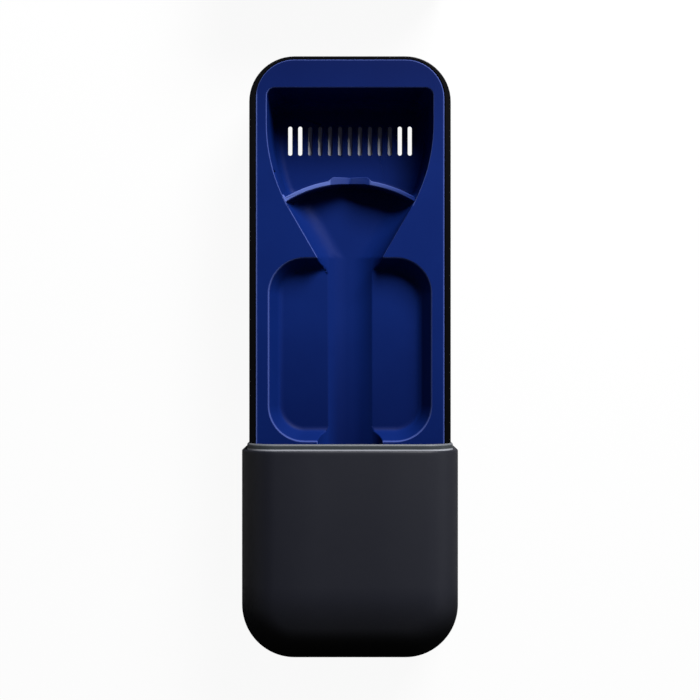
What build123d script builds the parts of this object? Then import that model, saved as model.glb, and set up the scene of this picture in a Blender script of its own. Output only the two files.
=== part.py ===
from build123d import *
import math
import os

# A storage box for one razor, lying on its back with its lid pulled off.
# X runs across the box, Y from its foot to its tip, and Z out of its front.
# The origin is the middle of the base's back face. All sizes are in millimetres.

# Closed box
box_width = 63.0
box_depth = 36.0
box_length = 176.8
base_length = 60.6
corner_radius = 15.4
edge_radius = 10.0

# Lid, and how far it is drawn off along the box
lid_wall = 1.3
lid_pull = 142.0
seam_gap = 0.2
mouth_chamfer = 0.4

# Base liner, whose lip stands out of the base and guides the lid
lip_clearance = 0.2
lip_height = 1.9
lip_rounding = 0.5
liner_wall = 1.2
glue_gap = 0.05

# Snap beads on the sides of the lip, and the grooves in the lid that take them
bead_length = 10.0
bead_radius = 0.45
bead_height = 0.14
groove_clearance = 0.3

# Back shell, a tub that carries the tray and stands in the liner with its neck
shell_side_inset = 2.25
shell_clearance = 0.3
shell_floor = 1.6
shell_back_radius = 8.0
rim_height = 28.8
rim_wall = 1.75
tip_rim_wall = 0.9
ledge_width = 0.7
neck_clearance = 0.2
seat_gap = 0.05

# Tray plate, which lies on the tub's ledge
tray_gap = 0.15
tray_proud = 0.5
plate_thickness = 2.0
plate_rounding = 0.4
tray_wall = 1.3

# Head pocket, a deep well with vent slots in its floor
head_half_width = 24.2
head_depth = 18.0
head_tip_margin = 9.15
head_length = 26.55
head_corner = 2.3
head_arc_corner = 1.0
head_draft = 1.6
head_floor_corner = 3.6
head_floor_rounding = 2.8
slot_count = 13
slot_pitch = 3.02
slot_width = 1.25
slot_length = 8.9
slot_ridge_distance = 9.35

# Funnel from the head pocket to the handle channel
funnel_straight = 23.7
funnel_angle = 30.0
funnel_bend = 50.0

# Arched ridge across the neck, with a notched saddle at its crown
ridge_radius = 37.4
ridge_thickness = 1.25
ridge_drop = 1.0
saddle_half_width = 5.0
saddle_flank = 1.9
saddle_length = 0.8
saddle_root = 1.1
notch_half_width = 6.2
notch_depth = 2.2

# Half-round handle channel
channel_half_width = 9.45
channel_depth = 8.1
channel_flat = 0.8
channel_foot_margin = 12.0

# Finger pocket across the channel
finger_width = 47.4
finger_length = 53.4
finger_depth = 6.0
finger_corner = 10.5
finger_slope = 3.0
finger_floor_rounding = 2.2
finger_mouth_margin = 0.4

# Windows in the back shell behind the outermost vent slots on each side
window_slots = 2
window_margin = 0.9
window_end_margin = 1.8
window_corner = 1.0

# Baffle behind the other vent slots, an upturned dish on the shell's floor
baffle_gap = 0.15
baffle_margin = 0.4
baffle_end_margin = 0.9
baffle_wall = 1.2

# Levels and lines that follow from the sizes above
foot_y = -base_length / 2
mouth_y = base_length / 2
lip_inset = lid_wall + lip_clearance
lip_half_width = box_width / 2 - lip_inset
lip_top_y = mouth_y + lip_height
bead_x = lip_half_width + bead_height - bead_radius
liner_inset = lip_inset + liner_wall
neck_inset = liner_inset + neck_clearance
neck_half_width = box_width / 2 - neck_inset
neck_foot_y = foot_y + neck_inset
shell_half_width = box_width / 2 - shell_side_inset
shell_corner = corner_radius - shell_side_inset
shell_back_z = lid_wall + shell_clearance
lid_inner_edge = edge_radius - lid_wall
rim_rise = rim_height - box_depth + edge_radius
rim_draw = lid_inner_edge - math.sqrt(lid_inner_edge**2 - rim_rise**2)
shell_tip_y = foot_y + box_length - lid_wall - shell_clearance - rim_draw
step_y = lip_top_y + seat_gap
face_z = rim_height + tray_proud
ledge_z = face_z - plate_thickness
seat_inset = rim_wall + ledge_width
seat_half_width = shell_half_width - seat_inset
neck_wall = neck_half_width - seat_half_width
plate_inset = rim_wall + tray_gap
plate_half_width = shell_half_width - plate_inset
plate_foot_inset = neck_half_width - plate_half_width
plate_tip_y = shell_tip_y - tip_rim_wall - tray_gap
head_top_y = shell_tip_y - head_tip_margin
head_floor_z = face_z - head_depth
ridge_crown_y = head_top_y - head_length
ridge_centre_y = ridge_crown_y - ridge_radius
ridge_top_z = face_z - ridge_drop
funnel_bend_y = head_top_y - funnel_straight
funnel_slope = math.tan(math.radians(funnel_angle))
funnel_end_y = funnel_bend_y - (head_half_width - channel_half_width) / funnel_slope
channel_foot_y = foot_y + channel_foot_margin
finger_middle_y = lip_top_y + finger_mouth_margin + finger_length / 2
slot_y = ridge_crown_y + slot_ridge_distance + slot_length / 2

# How far cutting tools reach past what they cut
reach = 3.0


def across(y):
    """The plane across the box at y, with its normal towards the tip."""
    return Plane(origin=(0, y, 0), x_dir=(-1, 0, 0), z_dir=(0, 1, 0))


def rounded_box(inset):
    """The closed box's outer form, drawn in by inset on every side."""
    with BuildPart() as block:
        with BuildSketch(Plane.XY.offset(inset)):
            with Locations((0, foot_y + box_length / 2)):
                RectangleRounded(
                    box_width - 2 * inset, box_length - 2 * inset, corner_radius - inset
                )
        extrude(amount=box_depth - 2 * inset)
        levels = block.edges().group_by(Axis.Z)
        fillet(levels[0] + levels[-1], edge_radius - inset)
    return block.part


def tongue(half_width, low_y, tip_y, low_corner, tip_corner):
    """A long plan outline with its own corner radius at its foot and its tip."""
    with BuildSketch(mode=Mode.PRIVATE) as outline:
        with Locations((0, (low_y + tip_y) / 2)):
            Rectangle(2 * half_width, tip_y - low_y)
        if tip_corner > 0:
            fillet(outline.vertices().group_by(Axis.Y)[-1], tip_corner)
        if low_corner > 0:
            fillet(outline.vertices().group_by(Axis.Y)[0], low_corner)
    return outline.sketch


def funnel_outline(inset, corner):
    """The plan of the head pocket and its funnel, as if there were no ridge."""
    half_width = head_half_width - inset
    top_y = head_top_y - inset
    bend_y = funnel_bend_y + inset * math.tan(math.radians(funnel_angle / 2))
    end_half_width = half_width - (bend_y - funnel_end_y) * funnel_slope
    with BuildSketch(mode=Mode.PRIVATE) as outline:
        Polygon(
            (-half_width, top_y),
            (-half_width, bend_y),
            (-end_half_width, funnel_end_y),
            (end_half_width, funnel_end_y),
            (half_width, bend_y),
            (half_width, top_y),
            align=None,
        )
        fillet(outline.vertices().group_by(Axis.Y)[-1], corner)
        fillet(outline.vertices().filter_by_position(Axis.Y, bend_y, bend_y), funnel_bend)
    return outline.sketch


def head_outline(inset, corner, arc_corner, grow):
    """The plan of the head pocket, which the ridge's arc closes towards the neck."""
    funnel = funnel_outline(inset, corner)
    with BuildSketch(mode=Mode.PRIVATE) as outline:
        add(funnel)
        with Locations((0, ridge_centre_y)):
            Circle(ridge_radius, mode=Mode.SUBTRACT)
        fillet(outline.vertices().group_by(Axis.Y)[0], arc_corner)
        if grow > 0:
            offset(amount=grow)
    return outline.sketch


def head_form(grow):
    """The head pocket: its hollow, or with grow its skin filled solid."""
    rim = head_outline(0, head_corner, head_arc_corner, grow)
    floor = head_outline(head_draft, head_floor_corner, head_floor_corner, grow)
    with BuildPart() as form:
        with BuildSketch(Plane.XY.offset(face_z)):
            add(rim)
        with BuildSketch(Plane.XY.offset(head_floor_z - grow)):
            add(floor)
        loft(ruled=True)
        fillet(form.edges().group_by(Axis.Z)[0], head_floor_rounding + grow)
        extrude(form.faces().sort_by(Axis.Z)[-1], amount=reach)
    return form.part


def channel_section(y, half_width, grow):
    """The channel's section at y: a quarter curve on each side of a flat."""
    flat = half_width - channel_half_width + channel_flat
    curve_width = channel_half_width - channel_flat
    radius = (curve_width**2 + channel_depth**2) / (2 * channel_depth)
    centre_z = face_z - channel_depth + radius
    rise = math.degrees(math.asin((centre_z - face_z) / (radius + grow)))
    with BuildSketch(across(y), mode=Mode.PRIVATE) as section:
        with BuildLine():
            bottom = Line((-flat, centre_z - radius - grow), (flat, centre_z - radius - grow))
            right = CenterArc((flat, centre_z), radius + grow, -90, 90 - rise)
            left = CenterArc((-flat, centre_z), radius + grow, -90, rise - 90)
            top_z = face_z + reach
            Polyline(right @ 1, ((right @ 1).X, top_z), ((left @ 1).X, top_z), left @ 1)
        make_face()
    return section.sketch


def channel_form(grow):
    """The half-round channel from the funnel's end down into the base."""
    section = channel_section(channel_foot_y - grow, channel_half_width, grow)
    with BuildPart() as form:
        extrude(section, amount=funnel_end_y - channel_foot_y + grow)
    return form.part


def funnel_form(grow):
    """The neck recess: the channel's section widens towards the head pocket."""
    narrow = channel_section(funnel_end_y, channel_half_width, grow)
    wide = channel_section(funnel_bend_y, head_half_width, grow)
    outline = funnel_outline(0, head_corner)
    with BuildSketch(mode=Mode.PRIVATE) as plan:
        add(outline)
        if grow > 0:
            with Locations((0, ridge_centre_y)):
                Circle(ridge_radius - ridge_thickness, mode=Mode.INTERSECT)
            offset(amount=grow)
    with BuildPart() as form:
        loft([narrow, wide], ruled=True)
        with BuildSketch(Plane.XY):
            add(plan.sketch)
        extrude(amount=box_depth, mode=Mode.INTERSECT)
    return form.part


def finger_form(grow):
    """The finger pocket, a rounded rectangle with sloping walls."""
    with BuildPart() as form:
        for sink, slope in ((0, 0), (finger_depth + grow, finger_slope)):
            with BuildSketch(Plane.XY.offset(face_z - sink)):
                with Locations((0, finger_middle_y)):
                    RectangleRounded(
                        finger_width + 2 * (grow - slope),
                        finger_length + 2 * (grow - slope),
                        finger_corner + grow - slope,
                    )
        loft(ruled=True)
        fillet(form.edges().group_by(Axis.Z)[0], finger_floor_rounding + grow)
        extrude(form.faces().sort_by(Axis.Z)[-1], amount=reach)
    return form.part


# Lid, made where it closes and then drawn off towards the tip
outer_form = rounded_box(0)
lid_hollow = rounded_box(lid_wall)
with BuildPart() as closed_lid:
    add(outer_form)
    split(bisect_by=across(mouth_y + seam_gap), keep=Keep.TOP)
    chamfer(closed_lid.faces().sort_by(Axis.Y)[0].edges(), mouth_chamfer)
    add(lid_hollow, mode=Mode.SUBTRACT)
    with Locations(
        (-bead_x, mouth_y + lip_height / 2, box_depth / 2),
        (bead_x, mouth_y + lip_height / 2, box_depth / 2),
    ):
        Cylinder(
            bead_radius + groove_clearance, bead_length + 2 * groove_clearance, mode=Mode.SUBTRACT
        )

with BuildPart() as lid_shell:
    with Locations((0, lid_pull, 0)):
        add(closed_lid.part)

# Base, a cup with a flat foot
base_hollow = rounded_box(lip_inset - glue_gap)
with BuildPart() as base_shell:
    add(outer_form)
    split(bisect_by=across(mouth_y), keep=Keep.BOTTOM)
    chamfer(base_shell.faces().sort_by(Axis.Y)[-1].edges(), mouth_chamfer)
    add(base_hollow, mode=Mode.SUBTRACT)

# Liner, glued into the base, with its lip standing out of the mouth
liner_outside = rounded_box(lip_inset)
liner_hollow = rounded_box(liner_inset)
with BuildPart() as base_liner:
    add(liner_outside)
    split(bisect_by=across(lip_top_y), keep=Keep.BOTTOM)
    fillet(base_liner.faces().sort_by(Axis.Y)[-1].edges(), lip_rounding)
    with Locations(
        (-bead_x, mouth_y + lip_height / 2, box_depth / 2),
        (bead_x, mouth_y + lip_height / 2, box_depth / 2),
    ):
        Cylinder(bead_radius, bead_length)
    add(liner_hollow, mode=Mode.SUBTRACT)

# Back shell: a wide tub above the lip, and a lower, narrower neck inside the liner
neck_block = rounded_box(neck_inset)
with BuildPart() as neck:
    add(neck_block)
    split(bisect_by=across(step_y + shell_floor), keep=Keep.BOTTOM)
    split(bisect_by=Plane.XY.offset(ledge_z), keep=Keep.BOTTOM)

neck_plan = tongue(
    seat_half_width,
    neck_foot_y + neck_wall,
    step_y + 2 * shell_floor,
    corner_radius - neck_inset - neck_wall,
    0,
)
with BuildPart() as neck_hollow:
    with BuildSketch(Plane.XY.offset(neck_inset + shell_floor)):
        add(neck_plan)
    extrude(amount=box_depth)
    fillet(
        neck_hollow.edges().group_by(Axis.Z)[0].sort_by(Axis.Y)[:-1],
        edge_radius - neck_inset - shell_floor,
    )

tub_plan = tongue(
    seat_half_width,
    step_y + shell_floor,
    shell_tip_y - tip_rim_wall - ledge_width,
    0,
    shell_corner - seat_inset,
)
with BuildPart() as tub_hollow:
    with BuildSketch(Plane.XY.offset(shell_back_z + shell_floor)):
        add(tub_plan)
    extrude(amount=box_depth)
    fillet(
        tub_hollow.edges().group_by(Axis.Z)[0].sort_by(Axis.Y)[1:],
        shell_back_radius - shell_floor,
    )

shell_plan = tongue(shell_half_width, step_y, shell_tip_y, 0, shell_corner)
rim_plan = tongue(
    shell_half_width - rim_wall,
    step_y - shell_floor,
    shell_tip_y - tip_rim_wall,
    0,
    shell_corner - rim_wall,
)
window_x = (slot_count - window_slots) / 2 * slot_pitch
with BuildPart() as back_shell:
    with BuildSketch(Plane.XY.offset(shell_back_z)):
        add(shell_plan)
    extrude(amount=rim_height - shell_back_z)
    fillet(
        back_shell.edges().group_by(Axis.Z)[0].sort_by(Axis.Y)[1:],
        shell_back_radius,
    )
    add(neck.part)
    add(neck_hollow.part, mode=Mode.SUBTRACT)
    add(tub_hollow.part, mode=Mode.SUBTRACT)
    with BuildSketch(Plane.XY.offset(ledge_z)):
        add(rim_plan)
    extrude(amount=box_depth, mode=Mode.SUBTRACT)
    with BuildSketch(Plane.XY):
        with Locations((-window_x, slot_y), (window_x, slot_y)):
            RectangleRounded(
                (window_slots - 1) * slot_pitch + slot_width + 2 * window_margin,
                slot_length + 2 * window_end_margin,
                window_corner,
            )
    extrude(amount=shell_back_z + 2 * shell_floor, mode=Mode.SUBTRACT)

# Baffle
baffle_slots = slot_count - 2 * window_slots
baffle_width = (baffle_slots - 1) * slot_pitch + slot_width + 2 * baffle_margin
baffle_length = slot_length + 2 * baffle_end_margin
baffle_foot_z = shell_back_z + shell_floor
baffle_top_z = head_floor_z - tray_wall - baffle_gap
with BuildPart() as vent_baffle:
    with BuildSketch(Plane.XY.offset(baffle_foot_z)):
        with Locations((0, slot_y)):
            Rectangle(baffle_width, baffle_length)
    extrude(amount=baffle_top_z - baffle_foot_z)
    offset(openings=vent_baffle.faces().sort_by(Axis.Z)[0], amount=-baffle_wall)

# Tray, one moulding: a plate with the skins of its pockets hanging below it
plate_plan = tongue(
    plate_half_width,
    neck_foot_y + plate_foot_inset,
    plate_tip_y,
    corner_radius - neck_inset - plate_foot_inset,
    shell_corner - plate_inset,
)
ridge_plan = funnel_outline(-tray_wall / 2, head_corner)
ridge_foot_z = face_z - channel_depth - tray_wall / 2
well_foot_z = head_floor_z - tray_wall / 2
tray_skins = (
    head_form(tray_wall),
    funnel_form(tray_wall),
    channel_form(tray_wall),
    finger_form(tray_wall),
)
tray_hollows = (head_form(0), funnel_form(0), channel_form(0), finger_form(0))

with BuildPart() as skins:
    for skin in tray_skins:
        add(skin)
    split(bisect_by=Plane.XY.offset(face_z - plate_thickness / 2), keep=Keep.BOTTOM)

with BuildPart() as ridge:
    with BuildSketch(Plane.XY.offset(ridge_foot_z)):
        with Locations((0, ridge_centre_y)):
            Circle(ridge_radius)
            Circle(ridge_radius - ridge_thickness, mode=Mode.SUBTRACT)
        add(ridge_plan, mode=Mode.INTERSECT)
    extrude(amount=ridge_top_z - ridge_foot_z)

with BuildPart() as saddle:
    with BuildSketch(Plane.XY.offset(well_foot_z)):
        Polygon(
            (-saddle_half_width - saddle_flank, ridge_crown_y - saddle_root),
            (-saddle_half_width, ridge_crown_y + saddle_length),
            (saddle_half_width, ridge_crown_y + saddle_length),
            (saddle_half_width + saddle_flank, ridge_crown_y - saddle_root),
            align=None,
        )
    extrude(amount=ridge_top_z - well_foot_z)

with BuildPart() as notch:
    with BuildSketch(across(ridge_crown_y - 2 * ridge_thickness)):
        Polygon(
            (0, ridge_top_z - notch_depth),
            (notch_half_width, ridge_top_z),
            (notch_half_width, ridge_top_z + reach),
            (-notch_half_width, ridge_top_z + reach),
            (-notch_half_width, ridge_top_z),
            align=None,
        )
    extrude(amount=2 * ridge_thickness + 2 * saddle_length)

with BuildPart() as razor_tray:
    with BuildSketch(Plane.XY.offset(ledge_z)):
        add(plate_plan)
    extrude(amount=plate_thickness)
    fillet(razor_tray.edges().group_by(Axis.Z)[-1], plate_rounding)
    add(skins.part)
    for hollow in tray_hollows:
        add(hollow, mode=Mode.SUBTRACT)
    add(ridge.part)
    add(saddle.part)
    add(notch.part, mode=Mode.SUBTRACT)
    with BuildSketch(Plane.XY.offset(head_floor_z + tray_wall)):
        with Locations((0, slot_y)):
            with GridLocations(slot_pitch, 1, slot_count, 1):
                SlotOverall(slot_length, slot_width, rotation=90)
    extrude(amount=-3 * tray_wall, mode=Mode.SUBTRACT)

os.makedirs("parts", exist_ok=True)
lid_shell.part.label = "lid_shell"
base_shell.part.label = "base_shell"
base_liner.part.label = "base_liner"
back_shell.part.label = "back_shell"
vent_baffle.part.label = "vent_baffle"
razor_tray.part.label = "razor_tray"
export_step(lid_shell.part, "parts/lid_shell.step")
export_step(base_shell.part, "parts/base_shell.step")
export_step(base_liner.part, "parts/base_liner.step")
export_step(back_shell.part, "parts/back_shell.step")
export_step(vent_baffle.part, "parts/vent_baffle.step")
export_step(razor_tray.part, "parts/razor_tray.step")
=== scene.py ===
# %% [markdown]
# # A razor storage box, opened
#
# The object is a slim moulded case for one razor. It lies on its back on a white table, with its black lid
# drawn off towards the tip. A charcoal base holds a black back shell, and the shell carries a navy tray.
# The CAD model fixes every size and place. This script gives each piece its finish and its soft edges.

import math

import bmesh
import bpy
import numpy as np
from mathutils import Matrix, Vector
from mathutils.bvhtree import BVHTree


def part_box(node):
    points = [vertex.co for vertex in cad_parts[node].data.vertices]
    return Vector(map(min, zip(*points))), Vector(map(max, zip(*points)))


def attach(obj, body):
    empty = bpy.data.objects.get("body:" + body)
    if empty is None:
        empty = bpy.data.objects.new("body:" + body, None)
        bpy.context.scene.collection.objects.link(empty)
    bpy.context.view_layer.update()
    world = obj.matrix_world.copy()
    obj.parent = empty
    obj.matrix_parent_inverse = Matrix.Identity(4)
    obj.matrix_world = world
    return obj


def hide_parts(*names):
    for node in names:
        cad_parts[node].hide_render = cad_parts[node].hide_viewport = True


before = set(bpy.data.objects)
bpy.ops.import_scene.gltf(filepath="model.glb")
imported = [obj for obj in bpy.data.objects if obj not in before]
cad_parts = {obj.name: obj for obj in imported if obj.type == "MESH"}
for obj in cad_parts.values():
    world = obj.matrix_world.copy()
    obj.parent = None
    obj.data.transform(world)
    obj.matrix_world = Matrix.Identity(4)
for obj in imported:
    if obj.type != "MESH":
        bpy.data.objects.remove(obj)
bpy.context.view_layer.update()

# %% [markdown]
# ## Sizes
#
# A piece that stands for a CAD node must fill the same space. Its outer sizes are read from the node's box,
# and only what a box can't tell, such as a wall or a radius, is written here in millimetres.

# %% Sizes of the mouldings
MM = 0.001
base_low, base_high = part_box("base_shell")
lid_low, lid_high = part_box("lid_shell")
liner_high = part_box("base_liner")[1]
tray_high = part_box("razor_tray")[1]

half_width = base_high.x
half_depth = base_high.z / 2
corner_radius = 15.4 * MM
edge_radius = 10.0 * MM
lid_wall = 1.3 * MM
lip_inset = 1.5 * MM
lip_rounding = 0.5 * MM
liner_wall = 1.2 * MM
mouth_rounding = 0.4 * MM
glue_gap = 0.05 * MM
print("half width", round(half_width, 5), "half depth", round(half_depth, 5))

# %% [markdown]
# ## One loop carried along the box
#
# Lid, base and liner are all the same form: a rounded box with an open mouth. One could join six plates
# and bevel them, but every moulding here has a round section that also turns round a corner in plan. So a
# single closed loop, the section across the box, is carried along it as whole arrays. Outside, rim and
# inside are just stations of that one walk, and the mesh closes by itself.


# %% Section across the box
def section_loop(arc_steps=20):
    """One closed loop in unit terms: (side, face, share of the flat, rise angle, share of the side).

    Each quarter runs from the middle of a face to its edge, along a quarter arc, and down half the side.
    The other quarters are its mirror images, so the loop is closed and symmetric. A point at 0.96 of the
    flat and one at 0.9 of the side keep the shading flat up to the arc.
    """
    flat = np.array([0.0, 0.5, 0.96, 1.0])
    arc = np.linspace(math.pi / 2, 0, arc_steps + 1)[1:]
    side = np.array([0.9, 0.5])
    share = np.concatenate([flat, np.ones(arc.size + side.size)])
    rise = np.concatenate([np.full(flat.size, math.pi / 2), arc, np.zeros(side.size)])
    drop = np.concatenate([np.ones(flat.size + arc.size), side])
    quarter = np.stack([share, rise, drop])
    front = np.concatenate([quarter, [[1.0], [0.0], [0.0]], quarter[:, :0:-1]], axis=1)
    faces = np.concatenate([np.ones(quarter.shape[1]), [0.0], -np.ones(quarter.shape[1] - 1)])
    back_centre = np.array([[0.0], [math.pi / 2], [1.0]])
    right = np.concatenate([front, back_centre], axis=1)
    right_face = np.concatenate([faces, [-1.0]])
    left = right[:, -2:0:-1]
    left_face = right_face[-2:0:-1]
    side_sign = np.concatenate([np.ones(right.shape[1]), -np.ones(left.shape[1])])
    face_sign = np.concatenate([right_face, left_face])
    share, rise, drop = np.concatenate([right, left], axis=1)
    return side_sign, face_sign, share, rise, drop


print("points in the section:", section_loop()[0].size)


# %% Walk along the box
def walk(stations, end_y, direction):
    """Points of a shell, one row for each station (inset, y, turn).

    inset is how far the loop lies inside the box's outer form. On the straight part turn is 0 and y places
    the loop. Round the end's corners, turn goes from 0 to a right angle, and a point lies on a circle in
    plan: the corner's centre plus its radius, less the inset, times the cosine and sine of the turn.
    """
    side_sign, face_sign, share, rise, drop = section_loop()
    inset, along, turn = (np.array(column, float)[:, None] for column in zip(*stations))
    radius = edge_radius - inset
    drawn_in = radius * (1 - np.cos(rise))
    plan_radius = corner_radius - inset - drawn_in
    centre_x = half_width - corner_radius
    centre_y = end_y - direction * corner_radius
    x = side_sign * share * (centre_x + plan_radius * np.cos(turn))
    straight = turn == 0
    y = np.where(straight, along, centre_y + direction * plan_radius * np.sin(turn))
    height = drop * (half_depth - edge_radius) + radius * np.sin(rise)
    z = half_depth + face_sign * height
    return np.stack(np.broadcast_arrays(x, y, z), axis=-1)


print("one station is an array of", walk([(0.0, 0.0, 0.0)], lid_high.y, 1).shape)


# %% Closed shell
def mesh_from(name, points, faces):
    """A mesh object from an array of points and a list of faces, with its normals pointing outwards."""
    mesh = bpy.data.meshes.new(name)
    mesh.from_pydata(points.reshape(-1, 3).tolist(), [], faces)
    shape = bmesh.new()
    shape.from_mesh(mesh)
    bmesh.ops.remove_doubles(shape, verts=shape.verts, dist=1e-7)
    bmesh.ops.recalc_face_normals(shape, faces=shape.faces)
    if shape.calc_volume(signed=True) < 0:
        bmesh.ops.reverse_faces(shape, faces=shape.faces)
    shape.to_mesh(mesh)
    shape.free()
    piece = bpy.data.objects.new(name, mesh)
    bpy.context.scene.collection.objects.link(piece)
    mesh.shade_smooth()
    return piece


def shell_from(name, stations, end_y, direction):
    """The walk's grid of faces, and at each of its two ends a strip of faces from the right to the left."""
    points = walk(stations, end_y, direction)
    rows, columns = points.shape[:2]
    index = np.arange(rows * columns).reshape(rows, columns)
    after = np.roll(index, -1, axis=1)
    grid = np.stack([index[:-1], index[1:], after[1:], after[:-1]], axis=-1).reshape(-1, 4)
    half = columns // 2
    strips = []
    for row in (index[0], index[-1]):
        right = row[: half + 1]
        left = np.concatenate([row[:1], row[: half - 1 : -1]])
        strips.append(np.stack([right[:-1], right[1:], left[1:], left[:-1]], axis=-1))
    faces = [list(dict.fromkeys(face)) for face in np.concatenate([grid, *strips]).tolist()]
    piece = mesh_from(name, points, [face for face in faces if len(face) > 2])
    print(name, "faces:", len(piece.data.polygons))
    return piece


# %% [markdown]
# ## Stations of a cup
#
# A cup is walked from its closed end to the mouth, over the rim and back inside. Its mouth has small
# rounded edges, because a moulded edge is never sharp, and it is those edges that catch the light. A Bevel
# modifier could round them too, but as stations they cost only a few lines and keep the grid even.


# %% Stations
def rounded_rim(outside, wall, soft, steps=5):
    """(inset, distance from the mouth) pairs of a rim whose two edges are quarter circles of radius soft.

    A point of the outer one lies soft less soft times the cosine of its angle inside the wall, and soft less
    soft times the sine behind the mouth. The inner one mirrors it, and a loop behind each holds the shading.
    """
    angles = np.linspace(0, math.pi / 2, steps)
    outer = [(outside + soft * (1 - math.cos(a)), soft * (1 - math.sin(a))) for a in angles]
    inner = [(2 * outside + wall - inset, back) for inset, back in reversed(outer)]
    support = 3 * soft
    return [(outside, support)] + outer + inner + [(outside + wall, support)]


def cup_stations(mouth_y, direction, end_y, outside, wall, soft, corner_steps=24):
    """Stations from the outside of the closed end, round the rim and back inside.

    The turn falls from a right angle to 0 round the end's corners, and the mouth follows on the straight.
    """
    turns = np.linspace(math.pi / 2, 0, corner_steps + 1)[:-1]
    start_y = end_y - direction * corner_radius
    middle_y = (start_y + mouth_y) / 2
    near_y = start_y - direction * 0.5 * MM
    outer = [(outside, start_y, turn) for turn in turns]
    outer += [(outside, y, 0.0) for y in (start_y, near_y, middle_y)]
    rim = rounded_rim(outside, wall, soft)
    edge = [(inset, mouth_y + direction * back, 0.0) for inset, back in rim]
    inner = [(outside + wall, y, turn) for _, y, turn in reversed(outer)]
    return outer + edge + inner


print("points over a rim:", len(rounded_rim(0.0, lid_wall, mouth_rounding)))

# %% [markdown]
# ## Lid, base and liner
#
# The lid is a long thin cap. The base is a shorter cup with the same outside. The liner is a stiffer cup
# glued into the base, and its lip stands out of the mouth to guide the lid. Each is one call of the same
# walk, with its own mouth, wall and direction.

# %% Lid
lid_stations = cup_stations(lid_low.y, 1, lid_high.y, 0.0, lid_wall, mouth_rounding)
lid = shell_from("lid", lid_stations, lid_high.y, 1)
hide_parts("lid_shell")
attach(lid, "lid")

# %% Base
base_wall = lip_inset - glue_gap
base_stations = cup_stations(base_high.y, -1, base_low.y, 0.0, base_wall, mouth_rounding)
base = shell_from("base", base_stations, base_low.y, -1)
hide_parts("base_shell")
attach(base, "base")

# %% Liner
liner_stations = cup_stations(liner_high.y, -1, base_low.y, lip_inset, liner_wall, lip_rounding)
liner = shell_from("liner", liner_stations, base_low.y, -1)
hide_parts("base_liner")
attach(liner, "base")

# %% [markdown]
# ## Back shell, tray and baffle
#
# The black back shell and the navy tray have pockets, ledges and slots, and a small pale baffle lies
# between them behind the vent slots. Their CAD solids already have the right shape. Each could be built
# again from arrays, but that would only repeat the CAD. What a CAD solid lacks is the small rounding on
# every edge. So each is copied, its loose triangles are merged, flat ones are joined, and a Bevel modifier
# rounds its sharp edges by a few tenths of a millimetre. At a few crowded corners the rounding overshoots,
# so points that stray from the CAD surface are put back on it.


# %% Merged copy of a node
def merged_copy(node, name):
    """A copy of a CAD node, its triangles merged and flat ones joined, with a search tree of its surface."""
    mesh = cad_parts[node].data.copy()
    mesh.name = name
    mesh.materials.clear()
    shape = bmesh.new()
    shape.from_mesh(mesh)
    surface = BVHTree.FromBMesh(shape)
    bmesh.ops.remove_doubles(shape, verts=shape.verts, dist=0.04 * MM)
    bmesh.ops.dissolve_limit(
        shape, angle_limit=math.radians(0.4), verts=shape.verts, edges=shape.edges
    )
    shape.to_mesh(mesh)
    shape.free()
    piece = bpy.data.objects.new(name, mesh)
    bpy.context.scene.collection.objects.link(piece)
    mesh.shade_smooth()
    return piece, surface


# %% Softened copy of a node
def softened_copy(node, name, width, segments):
    """A merged copy whose edges are rounded by a Bevel modifier of the given width.

    A point farther from the CAD surface than 0.4 of the width has strayed, and moves to the nearest point
    of that surface. The middle of a true round on a square edge is only 0.3 of the width away.
    """
    piece, surface = merged_copy(node, name)
    bevel = piece.modifiers.new("soft_edges", "BEVEL")
    bevel.width = width
    bevel.segments = segments
    bevel.limit_method = "ANGLE"
    bevel.angle_limit = math.radians(28)
    bevel.use_clamp_overlap = False
    rounded = bpy.data.meshes.new_from_object(piece.evaluated_get(bpy.context.evaluated_depsgraph_get()))
    points = np.empty(3 * len(rounded.vertices), np.float32)
    rounded.vertices.foreach_get("co", points)
    points = points.reshape(-1, 3)
    nearest = np.array([surface.find_nearest(point)[0] for point in points.tolist()], np.float32)
    stray = np.linalg.norm(points - nearest, axis=1) > 0.4 * width
    points[stray] = nearest[stray]
    rounded.vertices.foreach_set("co", points.ravel())
    rounded.update()
    piece.modifiers.clear()
    piece.data = rounded
    weighted = piece.modifiers.new("flat_faces", "WEIGHTED_NORMAL")
    weighted.keep_sharp = True
    print(name, "faces:", len(rounded.polygons), "points put back:", int(stray.sum()))
    return piece


# %% Back shell
shell = softened_copy("back_shell", "shell", 0.25 * MM, 2)
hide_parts("back_shell")
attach(shell, "base")

# %% Tray
tray = softened_copy("razor_tray", "tray", 0.3 * MM, 3)
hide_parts("razor_tray")
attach(tray, "base")

# %% Baffle
baffle = softened_copy("vent_baffle", "baffle", 0.2 * MM, 2)
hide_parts("vent_baffle")
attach(baffle, "base")

# %% [markdown]
# ## Shader maths in plain Python
#
# A material is a web of nodes, and a chain of Math nodes is slow to write and slow to read. A small class
# wraps an output socket and gives it the usual operators, so that 1 - mask adds its node by itself. Most
# masks here are soft steps, so a wire also has two of those: one that rises past a place, and one that
# falls short of it. Any other node comes from one method.


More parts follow.
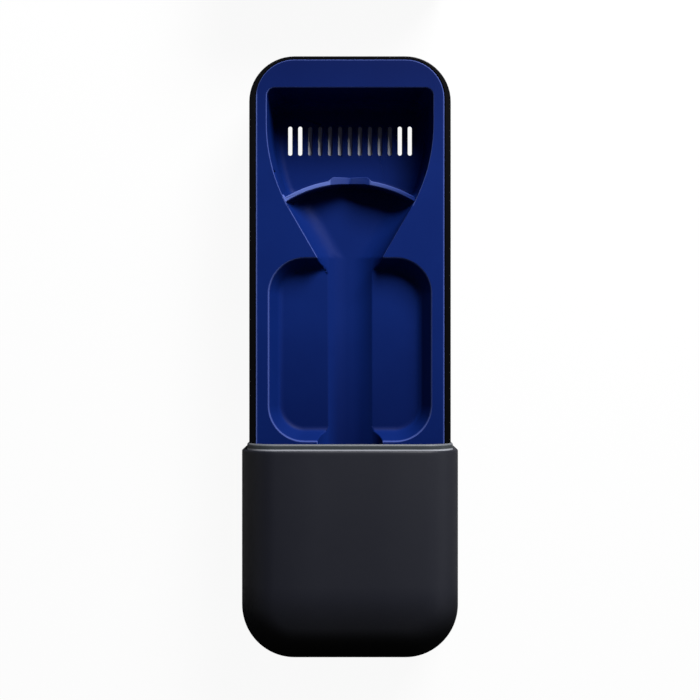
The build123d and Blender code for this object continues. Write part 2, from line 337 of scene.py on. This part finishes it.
# %% Wire
class Wire:
    """An output socket that can stand in an expression of numbers."""

    def __init__(self, finish, socket):
        self.finish = finish
        self.socket = socket

    def _math(self, operation, first, second=0.0):
        return self.finish.node("ShaderNodeMath", {"operation": operation}, {0: first, 1: second})

    def __add__(self, other):
        return self._math("ADD", self, other)

    def __radd__(self, other):
        return self._math("ADD", other, self)

    def __sub__(self, other):
        return self._math("SUBTRACT", self, other)

    def __rsub__(self, other):
        return self._math("SUBTRACT", other, self)

    def __mul__(self, other):
        return self._math("MULTIPLY", self, other)

    def __rmul__(self, other):
        return self._math("MULTIPLY", other, self)

    def __pow__(self, other):
        return self._math("POWER", self, other)

    def __abs__(self):
        return self._math("ABSOLUTE", self)

    def above(self, floor):
        """The larger of the value and floor."""
        return self._math("MAXIMUM", self, floor)

    def held(self):
        """The value held between 0 and 1."""
        return self._math("MINIMUM", self.above(0.0), 1.0)

    def past(self, start, width):
        """0 up to start, then a straight rise to 1 over width."""
        return ((self - start) * (1 / width)).held()

    def short_of(self, end, width):
        """1 until width before end, then a straight fall to 0 at end."""
        return ((end - self) * (1 / width)).held()


# %% Finish
class Finish:
    """A material under construction. node() adds any node, sets it up and returns its output."""

    def __init__(self, name):
        self.material = bpy.data.materials.new(name)
        self.material.use_nodes = True
        self.tree = self.material.node_tree
        self.tree.nodes.clear()

    def node(self, kind, settings=None, inputs=None, output=0):
        made = self.tree.nodes.new(kind)
        for key, value in (settings or {}).items():
            setattr(made, key, value)
        for key, value in (inputs or {}).items():
            if isinstance(value, Wire):
                self.tree.links.new(value.socket, made.inputs[key])
            else:
                made.inputs[key].default_value = value
        return Wire(self, made.outputs[output])

    def place(self):
        """The point in the object's own metres."""
        return self.node("ShaderNodeTexCoord", output="Object")

    def axis(self, number):
        """One coordinate of that point: 0, 1 or 2 for x, y or z."""
        return self.node("ShaderNodeSeparateXYZ", None, {0: self.place()}, number)

    def upward(self):
        """How far the surface faces up: 1 for a floor, 0 for a wall."""
        facing = self.node("ShaderNodeTexCoord", output="Normal")
        return self.node("ShaderNodeSeparateXYZ", None, {0: facing}, 2)

    def mix(self, share, first, second):
        """From the first colour to the second as share goes from 0 to 1."""
        inputs = {"Factor": share, 6: first, 7: second}
        return self.node("ShaderNodeMix", {"data_type": "RGBA"}, inputs, 2)

    def noise(self, where, grain, detail):
        """Noise whose grains are about grain metres across."""
        inputs = {"Vector": where, "Scale": 1 / grain, "Detail": detail}
        return self.node("ShaderNodeTexNoise", None, inputs)

    def end(self, shader):
        """Link the shader to the material's output."""
        last = self.tree.nodes.new("ShaderNodeOutputMaterial")
        self.tree.links.new(shader.socket, last.inputs["Surface"])


# %% [markdown]
# ## Moulded plastic
#
# All six pieces are injection-moulded plastic, and they differ in colour and in the tool's texture. A
# moulded surface has a fine even grain from the steel, slow waves in its gloss where it cooled unevenly,
# and here and there a faint rub. A picture of plastic could be wrapped round each piece, but noise on the
# object's own coordinates has no seams and keeps its grain at any size. One function makes all six. It
# also takes a broad form, a height that is shaded but not modelled, for faces that are gently crowned.


# %% Moulded plastic
def moulded_plastic(
    finish, colour, cast, roughness, grain, sheen, coat=0.0, crown=None, painted_highlight=None, painted_shade=None
):
    """Plastic with a tooled grain.

    The colour goes to cast by 0.7 of the slow waves and 0.3 of the grain. The roughness wavers by 0.04 round
    its value with 0.6 of the waves and 0.4 of the rub. The bump is the grain and 0.4 of the rub, 0.012 mm
    high, plus crown, a height in metres. painted_shade and painted_highlight are pairs of a wire from 0 to 1
    and a colour: painted shade mixed into the colour first, and a painted highlight laid over it.
    """
    where = finish.place()
    slow = finish.noise(where, 18 * MM, 3.0)
    fine = finish.noise(where, grain, 2.0)
    rub = finish.noise(where, 4 * MM, 5.0)
    tint = finish.mix(slow * 0.7 + fine * 0.3, (*colour, 1.0), (*cast, 1.0))
    # painted shade, then painted highlights, are mixed into the colour
    for share, shade in (pair for pair in (painted_shade, painted_highlight) if pair):
        tint = finish.mix(share, tint, (*shade, 1.0))
    gloss = roughness - 0.04 + (slow * 0.6 + rub * 0.4) * 0.08
    height = (fine + rub * 0.4) * (0.012 * MM)
    if crown:
        height = height + crown
    bump = finish.node("ShaderNodeBump", None, {"Strength": 1.0, "Distance": 1.0, "Height": height})
    surface = {
        "Base Color": tint,
        "Roughness": gloss,
        "Normal": bump,
        "Specular IOR Level": sheen,
        "Coat Weight": coat,
        "Coat Roughness": 0.17,
    }
    finish.end(finish.node("ShaderNodeBsdfPrincipled", None, surface))


def dress(piece, finish):
    """Put the finish on the piece."""
    piece.data.materials.append(finish.material)
    print(piece.name, "wears", finish.material.name, "of", len(finish.tree.nodes), "nodes")


# %% [markdown]
# ## Lid and base
#
# Both faces fade towards their sides and towards the foot, although a flat face would stay even. So the
# mouldings are crowned: over the last two centimetres the face sinks by a parabola. It could be modelled,
# but then the outline would shrink, so the height is worked out from the object's own coordinates and only
# bends the normal. The lid is a satin black, and painted shade darkens the base's soft coat towards the
# foot.


# %% Crown
def crown_of(finish, foot_y):
    """Minus depth times (distance into the border over its reach) squared, on both sides and the foot."""
    reach = 22 * MM
    side_depth = 3.0 * MM
    foot_depth = 5.5 * MM
    side = (abs(finish.axis(0)) - (half_width - reach)).above(0)
    foot = (foot_y + reach - finish.axis(1)).above(0)
    return side * side * (-side_depth / reach**2) - foot * foot * (foot_depth / reach**2)


# %% Lid finish
lid_black = (0.0021, 0.0021, 0.0027)
lid_cast = (0.0029, 0.0029, 0.0036)
no_foot_y = -1.0
lid_finish = Finish("lid_plastic")
lid_crown = crown_of(lid_finish, no_foot_y)
moulded_plastic(
    lid_finish, lid_black, lid_cast, roughness=0.55, grain=0.35 * MM, sheen=0.13, crown=lid_crown
)
dress(lid, lid_finish)

# %% Base finish
charcoal = (0.0046, 0.0056, 0.0125)
charcoal_cast = (0.0066, 0.0076, 0.0155)
painted_foot_shade = (0.0005, 0.0006, 0.001)
base_finish = Finish("base_soft_touch")
base_crown = crown_of(base_finish, base_low.y)
# painted shade: the base's colour darkens towards the foot
foot_shade_share = base_finish.axis(1).short_of(base_low.y + 19 * MM, 16 * MM)
moulded_plastic(
    base_finish, charcoal, charcoal_cast, roughness=0.58, grain=0.3 * MM, sheen=0.44,
    crown=base_crown, painted_shade=(foot_shade_share, painted_foot_shade),
)
dress(base, base_finish)

# %% [markdown]
# ## Liner
#
# The liner is a grey satin plastic. Both edges of its lip carry a painted highlight: a line at the lip's
# end, and a brighter one at its root. The root's painted highlight shows as a bright ring round the open
# mouth, and the lid hides it when the box is closed. A thin ring could be added as a piece, but the real one
# is only the liner's own edge.

# %% Liner finish
liner_grey = (0.03, 0.036, 0.04)
liner_cast = (0.038, 0.045, 0.05)
lip_highlight_grey = (0.34, 0.35, 0.39)
liner_finish = Finish("liner_plastic")
along = liner_finish.axis(1)
# painted highlights: a pale line at the lip's end and a brighter ring at its root
lip_end = along.past(liner_high.y - 0.55 * MM, MM / 8)
lip_root = along.short_of(base_high.y + 0.5 * MM, MM / 6)
lip_highlight_share = (lip_end * 0.3 + lip_root).held()
moulded_plastic(
    liner_finish, liner_grey, liner_cast, roughness=0.45, grain=0.35 * MM, sheen=0.3,
    painted_highlight=(lip_highlight_share, lip_highlight_grey),
)
dress(liner, liner_finish)

# %% [markdown]
# ## Back shell and baffle
#
# The back shell is black with a thin gloss, which shows only as a line of light along its rim. The baffle
# is bare pale plastic. It is seen in shadow through the middle slots, so it must be far paler than it
# looks.

# %% Back shell and baffle finishes
shell_black = (0.0012, 0.0012, 0.0018)
shell_cast = (0.002, 0.002, 0.0028)
shell_finish = Finish("back_shell_plastic")
moulded_plastic(
    shell_finish, shell_black, shell_cast, roughness=0.45, grain=0.35 * MM, sheen=0.05, coat=0.12
)
dress(shell, shell_finish)

bare_grey = (0.6, 0.6, 0.66)
bare_cast = (0.66, 0.66, 0.72)
baffle_finish = Finish("baffle_plastic")
moulded_plastic(baffle_finish, bare_grey, bare_cast, roughness=0.5, grain=0.35 * MM, sheen=0.3)
dress(baffle, baffle_finish)

# %% [markdown]
# ## Navy tray
#
# The tray is a satin navy. Its rims and the crest of its arched ridge carry a painted highlight, and painted
# shade darkens it towards both ends. One could paint such masks by hand, but sums of distances stay exact.
# The crest is the ring between two circles round the ridge's centre, on the ridge's own level. Its painted
# highlight is palest on its left arm and fades to the right, as the photo shows.

# %% Crest of the ridge
ridge_radius = 37.4 * MM
ridge_thickness = 1.25 * MM
pocket_margin = 8.1 * MM
pocket_length = 26.55 * MM
ridge_crown_y = tray_high.y - pocket_margin - pocket_length
face_z = tray_high.z
tray_finish = Finish("tray_plastic")
x, y, z = (tray_finish.axis(number) for number in range(3))
# painted highlight on the ridge's crest, palest on the left arm
from_centre_y = y - (ridge_crown_y - ridge_radius)
from_centre = (x * x + from_centre_y * from_centre_y) ** 0.5
outside_inner = from_centre.past(ridge_radius - ridge_thickness - 0.2 * MM, MM / 4)
inside_outer = from_centre.short_of(ridge_radius + 1.2 * MM, MM / 4)
beyond_neck = y.past(ridge_crown_y - 12 * MM, MM)
on_level = z.past(face_z - 3.4 * MM, MM / 2) * z.short_of(face_z - 0.55 * MM, MM / 5)
on_arms = abs(x).past(5.5 * MM, MM / 2)
paleness = (0.16 - x * (0.02 / MM) + on_arms * (0.75 - x * (0.028 / MM))).held()
crest_highlight = outside_inner * inside_outer * beyond_neck * on_level * paleness
print("crown of the ridge at y:", round(ridge_crown_y, 5), "tray's face at z:", round(face_z, 5))

# %% [markdown]
# ## Painted highlights and shade of the tray
#
# A rim is where the surface turns away from straight up just under the tray's face, and it gets a painted
# highlight. The plate's own two long edges get the same painted highlight, the left one more. Painted shade
# darkens the tray beyond the head pocket, and on the floors towards the base, more so below the face.

# %% Tray finish
navy = (0.0022, 0.0108, 0.092)
navy_cast = (0.0034, 0.0175, 0.135)
highlight_navy = (0.085, 0.125, 0.38)
shade_navy = (0.001, 0.0045, 0.045)
upward = tray_finish.upward()
# painted highlights along the rims and the plate's two long edges
rim = z.past(face_z - 0.75 * MM, MM / 3) * upward.short_of(0.96, 0.125)
side_highlight = abs(x).past(tray_high.x - 0.5 * MM, MM / 5) * (0.55 - x * (0.014 / MM))
# painted shade towards the tip, and on the floors towards the base
to_tip = y.past(112 * MM, 30 * MM)
to_base = y.short_of(72 * MM, 40 * MM)
below_face = z.short_of(face_z - 3 * MM, 2 * MM)
on_floor = upward.past(0.75, 0.2)
painted_highlight_share = (crest_highlight + rim * 0.5 + side_highlight).held()
painted_shade_share = (to_tip * 0.62 + to_base * (0.3 + below_face * 0.4) * on_floor).held()
moulded_plastic(
    tray_finish, navy, navy_cast, roughness=0.5, grain=0.4 * MM, sheen=0.045,
    painted_highlight=(painted_highlight_share, highlight_navy), painted_shade=(painted_shade_share, shade_navy),
)
dress(tray, tray_finish)

# %% [markdown]
# ## Table
#
# The photo is a cut-out on pure white. The table is a plain pale floor. To a camera ray it also glows, so
# it reads as white, while a part of its diffuse shade stays and keeps the shadow. To all other rays it is
# dim, and nearly black in front of the foot, or else its bounce would light the undersides that are dark
# in the photo. A brighter lamp could whiten it too, but it would bleach the tray.

# %% Table
table_reach = 3.0
corners = np.array([(-1, -1, 0), (1, -1, 0), (1, 1, 0), (-1, 1, 0)], float) * table_reach
table_mesh = bpy.data.meshes.new("table")
table_mesh.from_pydata(corners.tolist(), [], [[0, 1, 2, 3]])
table = bpy.data.objects.new("table", table_mesh)
bpy.context.scene.collection.objects.link(table)
print("table from", -table_reach, "to", table_reach, "metres")


# %% Table finish
def diffuse(finish, grey):
    """A matt shader of one grey."""
    return finish.node("ShaderNodeBsdfDiffuse", None, {"Color": (grey, grey, grey, 1.0)})


def mixed(finish, share, first, second):
    """From the first shader to the second as share goes from 0 to 1."""
    return finish.node("ShaderNodeMixShader", None, {0: share, 1: first, 2: second})


table_finish = Finish("white_table")
glowing = {"Color": (1.0, 1.0, 1.0, 1.0), "Strength": 1.0}
paper_white = table_finish.node("ShaderNodeEmission", None, glowing)
beside = table_finish.axis(1).past(base_low.y + 4 * MM, 10 * MM)
bounce = mixed(table_finish, beside, diffuse(table_finish, 0.004), diffuse(table_finish, 0.24))
white = mixed(table_finish, 0.94, diffuse(table_finish, 0.8), paper_white)
seen = table_finish.node("ShaderNodeLightPath", output="Is Camera Ray")
table_finish.end(mixed(table_finish, seen, bounce, white))
dress(table, table_finish)

# %% [markdown]
# ## Lamps
#
# The shadows in the pockets fall to the left and towards the base, and their edges are soft. So one large
# lamp stands beyond the tip and to the right. Two faint low lamps draw the bright lines along the sides,
# which a white room would also give, but with a grey veil over the black plastic.


# %% Lamps
def area_lamp(name, place, aim, size, power):
    """A square lamp at place that faces the point aim."""
    data = bpy.data.lights.new(name, "AREA")
    data.size = size
    data.energy = power
    lamp = bpy.data.objects.new(name, data)
    lamp.location = place
    lamp.rotation_euler = (Vector(aim) - Vector(place)).to_track_quat("-Z", "Y").to_euler()
    bpy.context.scene.collection.objects.link(lamp)
    print(name, "of", round(power, 2), "watts at", [round(c, 3) for c in place])


tray_middle = (0.0, 0.075, 0.02)
key_direction = Vector((0.62, 1.22, 1.0)).normalized()
key_distance = 0.6
key_size = 0.27
key_power = 20.0 * key_distance**2
area_lamp("key", Vector(tray_middle) + key_direction * key_distance, tray_middle, key_size, key_power)
edge_distance = 0.6
edge_y = 0.02
edge_height = 0.09
edge_size = 0.3
for name, side, power in (("left_edge", -1, 0.2), ("right_edge", 1, 0.5)):
    area_lamp(name, (side * edge_distance, edge_y, edge_height), tray_middle, edge_size, power)

# %% [markdown]
# ## Air
#
# The air round the table is white to the camera alone, so a view from the side has a white background too.
# To the object it is nearly dark, so that the black plastic stays black.

# %% World
world = bpy.data.worlds.new("studio")
bpy.context.scene.world = world
world.use_nodes = True
air = world.node_tree
air.nodes.clear()
ray = air.nodes.new("ShaderNodeLightPath")
dusk = air.nodes.new("ShaderNodeBackground")
dusk.inputs["Strength"].default_value = 0.05
daylight = air.nodes.new("ShaderNodeBackground")
daylight.inputs["Color"].default_value = (1.0, 1.0, 1.0, 1.0)
pick = air.nodes.new("ShaderNodeMixShader")
sky = air.nodes.new("ShaderNodeOutputWorld")
air.links.new(ray.outputs["Is Camera Ray"], pick.inputs[0])
air.links.new(dusk.outputs[0], pick.inputs[1])
air.links.new(daylight.outputs[0], pick.inputs[2])
air.links.new(pick.outputs[0], sky.inputs["Surface"])
print("world nodes:", len(air.nodes))

# %% [markdown]
# ## Camera
#
# The photo looks straight down on the box from about forty centimetres, near enough for the deep pockets
# to show one wall more than the other. Its scale at the tray's face gives the lens: the width of the view
# there is the photo's side in pixels times the scale.

# %% Camera
camera_height = 390 * MM
face_drop = 10 * MM
photo_side = 700
scale_at_face = 0.2921 * MM
foot_to_axis = 89.5 * MM
camera_data = bpy.data.cameras.new("camera")
camera_data.lens = camera_data.sensor_width * (camera_height + face_drop) / (photo_side * scale_at_face)
camera = bpy.data.objects.new("camera", camera_data)
camera.location = (0.0, base_low.y + foot_to_axis, base_high.z + camera_height)
bpy.context.scene.collection.objects.link(camera)
bpy.context.scene.camera = camera
bpy.context.scene.view_settings.view_transform = "Standard"
print("lens in mm:", round(camera_data.lens, 2))
